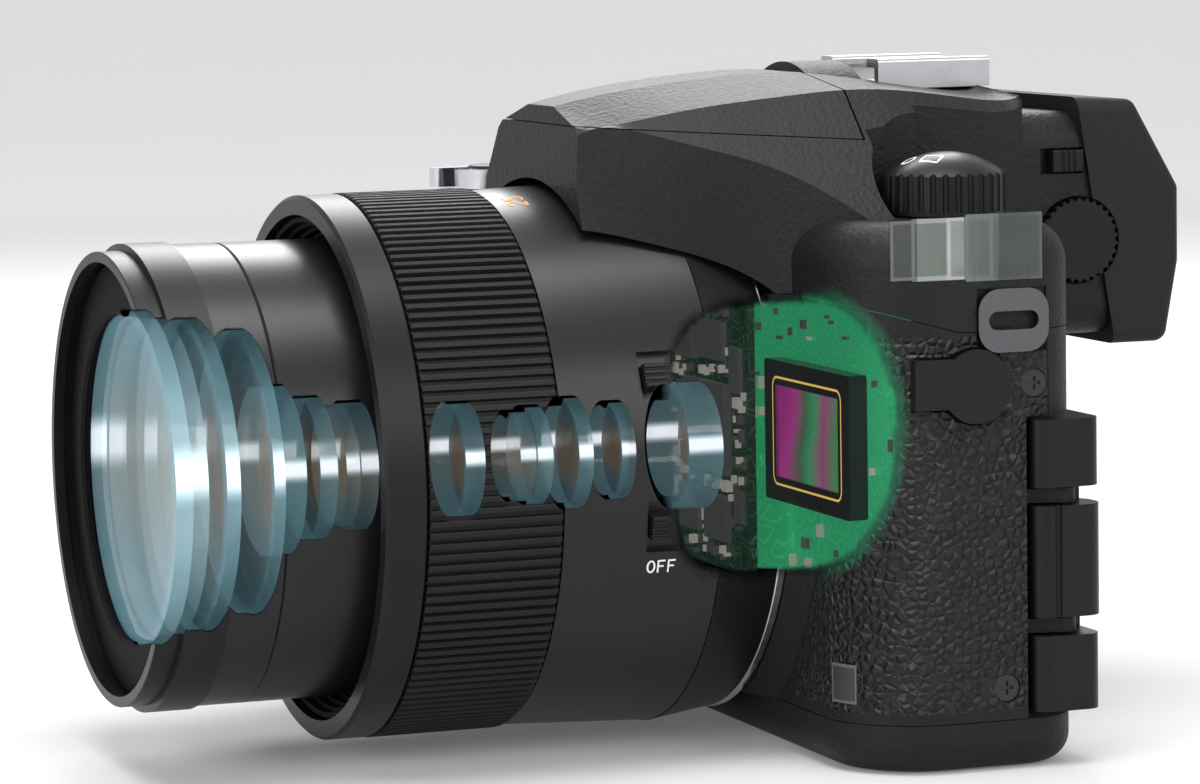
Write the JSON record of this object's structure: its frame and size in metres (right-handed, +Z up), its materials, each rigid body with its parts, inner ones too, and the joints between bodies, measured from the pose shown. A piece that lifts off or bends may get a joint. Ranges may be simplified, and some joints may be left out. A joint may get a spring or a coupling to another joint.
{
  "type": "bridge camera",
  "caption": "Superzoom camera with a fixed long zoom lens run out, pop-up flash, electronic viewfinder, grip and swing-out screen.",
  "frame": {"origin": "mouth of the tripod socket, on the base plane straight under the lens axis", "axes": "+Z up, the lens looks along -Y, +X is the camera's own left side"},
  "size_m": [0.1382, 0.1576, 0.0984],
  "materials": {
    "casing_plastic": "fine matt grain",
    "inner_black": "dead black",
    "control_plastic": "satin",
    "soft_rubber": "matt",
    "grained_leather": "embossed grain",
    "bright_ring": "polished",
    "shoe_steel": "satin metal",
    "optical_glass": "coated, pale teal",
    "screen_glass": "glossy black",
    "lamp_window": "frosted",
    "sensor_silicon": "mirror-flat",
    "board_green": "solder mask",
    "battery_case": "plain"
  },
  "bodies": {
    "camera_body": {"front_casing": "casing_plastic", "rear_casing": "casing_plastic", "top_casing": "casing_plastic", "base_cover": "casing_plastic", "grip_rubber": "soft_rubber", "side_leather": "grained_leather", "lens_collar": "casing_plastic", "trim_ring": "bright_ring", "fixed_barrel": "casing_plastic", "light_baffle": "inner_black", "hot_shoe": "shoe_steel", "strap_lugs": "shoe_steel", "case_screws": "shoe_steel", "tripod_bush": "shoe_steel", "image_sensor": "sensor_silicon", "sensor_board": "board_green", "main_board": "board_green", "guide_rods": "shoe_steel", "battery": "battery_case", "viewfinder_display": "inner_black", "viewfinder_lens": "optical_glass", "eyecup": "soft_rubber"},
    "front_group": {"front_barrel": "casing_plastic", "filter_ring": "casing_plastic", "front_retainer": "inner_black", "front_lens_pair": "optical_glass", "second_lens": "optical_glass", "third_lens": "optical_glass", "variator_lenses": "optical_glass", "front_lens_cell": "inner_black"},
    "relay_group": {"relay_cell": "inner_black", "relay_lens": "optical_glass"},
    "focus_group": {"focus_cell": "inner_black", "focus_lens_pair": "optical_glass", "focus_lens": "optical_glass"},
    "rear_group": {"rear_cell": "inner_black", "rear_lens": "optical_glass", "field_lens": "optical_glass"},
    "lens_ring": {"zoom_ring": "casing_plastic", "zoom_ring_rubber": "soft_rubber"},
    "flash": {"flash_head": "casing_plastic", "flash_window": "lamp_window"},
    "screen": {"lcd_frame": "casing_plastic", "lcd_screen": "screen_glass", "lcd_hinge": "casing_plastic"},
    "drive_dial_body": {"drive_dial": "control_plastic"},
    "mode_dial_body": {"mode_dial": "control_plastic"},
    "rear_dial_body": {"rear_dial": "control_plastic"},
    "zoom_lever_body": {"zoom_lever": "bright_ring"},
    "shutter_button_body": {"shutter_button": "bright_ring"},
    "power_lever_body": {"power_lever": "control_plastic"},
    "movie_button_body": {"movie_button": "control_plastic"},
    "stabiliser_switch_body": {"stabiliser_switch": "control_plastic"},
    "focus_switch_body": {"focus_switch": "control_plastic"},
    "flash_switch_body": {"flash_switch": "control_plastic"},
    "diopter_dial_body": {"diopter_dial": "control_plastic"},
    "mic_cover_body": {"mic_cover": "control_plastic"},
    "battery_door_body": {"battery_door": "casing_plastic"},
    "cursor_pad_body": {"cursor_pad": "control_plastic"},
    "rear_keypad_body": {"rear_keypad": "control_plastic"}
  },
  "joints": [
    {"name": "front_slide", "type": "slide", "parent": "camera_body", "child": "front_group", "axis": [0, 1, 0], "range_m": [0, 0.027]},
    {"name": "relay_slide", "type": "slide", "parent": "camera_body", "child": "relay_group", "axis": [0, 1, 0], "range_m": [0, 0.0168]},
    {"name": "focus_slide", "type": "slide", "parent": "camera_body", "child": "focus_group", "axis": [0, 1, 0], "range_m": [0, 0.0147]},
    {"name": "rear_slide", "type": "slide", "parent": "camera_body", "child": "rear_group", "axis": [0, 1, 0], "range_m": [0, 0.0142]},
    {"name": "lens_ring_turn", "type": "hinge", "parent": "camera_body", "child": "lens_ring", "pos_m": [0, -0.064, 0.0415], "axis": [0, 1, 0], "continuous": true},
    {"name": "flash_lift", "type": "hinge", "parent": "camera_body", "child": "flash", "pos_m": [0, -0.0045, 0.0971], "axis": [-1, 0, 0], "range_deg": [0, 45]},
    {"name": "screen_turn", "type": "hinge", "parent": "camera_body", "child": "screen", "pos_m": [0.0544, 0.0147, 0.0291], "axis": [0, 0, -1], "range_deg": [0, 180]},
    {"name": "drive_dial_turn", "type": "hinge", "parent": "camera_body", "child": "drive_dial_body", "pos_m": [0.038, 0.005, 0.08], "axis": [0, 0, 1], "continuous": true},
    {"name": "mode_dial_turn", "type": "hinge", "parent": "camera_body", "child": "mode_dial_body", "pos_m": [-0.045, 0.004, 0.08], "axis": [0, 0, 1], "continuous": true},
    {"name": "rear_dial_turn", "type": "hinge", "parent": "camera_body", "child": "rear_dial_body", "pos_m": [-0.055, 0.0116, 0.0718], "axis": [0, 0, 1], "continuous": true},
    {"name": "zoom_lever_turn", "type": "hinge", "parent": "camera_body", "child": "zoom_lever_body", "pos_m": [-0.0615, -0.028, 0.0785], "axis": [0, 0, 1], "range_deg": [-15, 15], "stiffness_Nm_per_rad": 0.02},
    {"name": "release_press", "type": "slide", "parent": "camera_body", "child": "shutter_button_body", "axis": [0, 0, -1], "range_m": [0, 0.0008], "stiffness_N_per_m": 800},
    {"name": "power_lever_turn", "type": "hinge", "parent": "camera_body", "child": "power_lever_body", "pos_m": [-0.0635, 0.008, 0.0785], "axis": [0, 0, 1], "range_deg": [-30, 0]},
    {"name": "movie_press", "type": "slide", "parent": "camera_body", "child": "movie_button_body", "axis": [0, 0, -1], "range_m": [0, 0.0005], "stiffness_N_per_m": 600},
    {"name": "stabiliser_slide", "type": "slide", "parent": "camera_body", "child": "stabiliser_switch_body", "axis": [-0.3641, 0, 0.9314], "range_m": [-0.0018, 0.0018]},
    {"name": "focus_switch_slide", "type": "slide", "parent": "camera_body", "child": "focus_switch_body", "axis": [0.1596, 0, 0.9872], "range_m": [-0.0018, 0.0018]},
    {"name": "flash_switch_slide", "type": "slide", "parent": "camera_body", "child": "flash_switch_body", "axis": [0, -1, 0], "range_m": [0, 0.0013], "stiffness_N_per_m": 300},
    {"name": "diopter_turn", "type": "hinge", "parent": "camera_body", "child": "diopter_dial_body", "pos_m": [0.0256, 0.0316, 0.0716], "axis": [1, 0, 0], "range_deg": [-60, 60]},
    {"name": "mic_cover_turn", "type": "hinge", "parent": "camera_body", "child": "mic_cover_body", "pos_m": [0.0576, -0.0086, 0.0545], "axis": [0, 0, -1], "range_deg": [0, 80]},
    {"name": "battery_door_turn", "type": "hinge", "parent": "camera_body", "child": "battery_door_body", "pos_m": [-0.0574, -0.0105, 0.0009], "axis": [0, -1, 0], "range_deg": [0, 90]},
    {"name": "pad_press", "type": "slide", "parent": "camera_body", "child": "cursor_pad_body", "axis": [0, -1, 0], "range_m": [0, 0.0005], "stiffness_N_per_m": 500},
    {"name": "keypad_press", "type": "slide", "parent": "camera_body", "child": "rear_keypad_body", "axis": [0, -1, 0], "range_m": [0, 0.0005], "stiffness_N_per_m": 500}
  ],
  "couplings": [
    {"joint": "relay_slide", "follows": "front_slide", "ratio": 0.62},
    {"joint": "focus_slide", "follows": "front_slide", "ratio": 0.54},
    {"joint": "rear_slide", "follows": "front_slide", "ratio": 0.52}
  ]
}
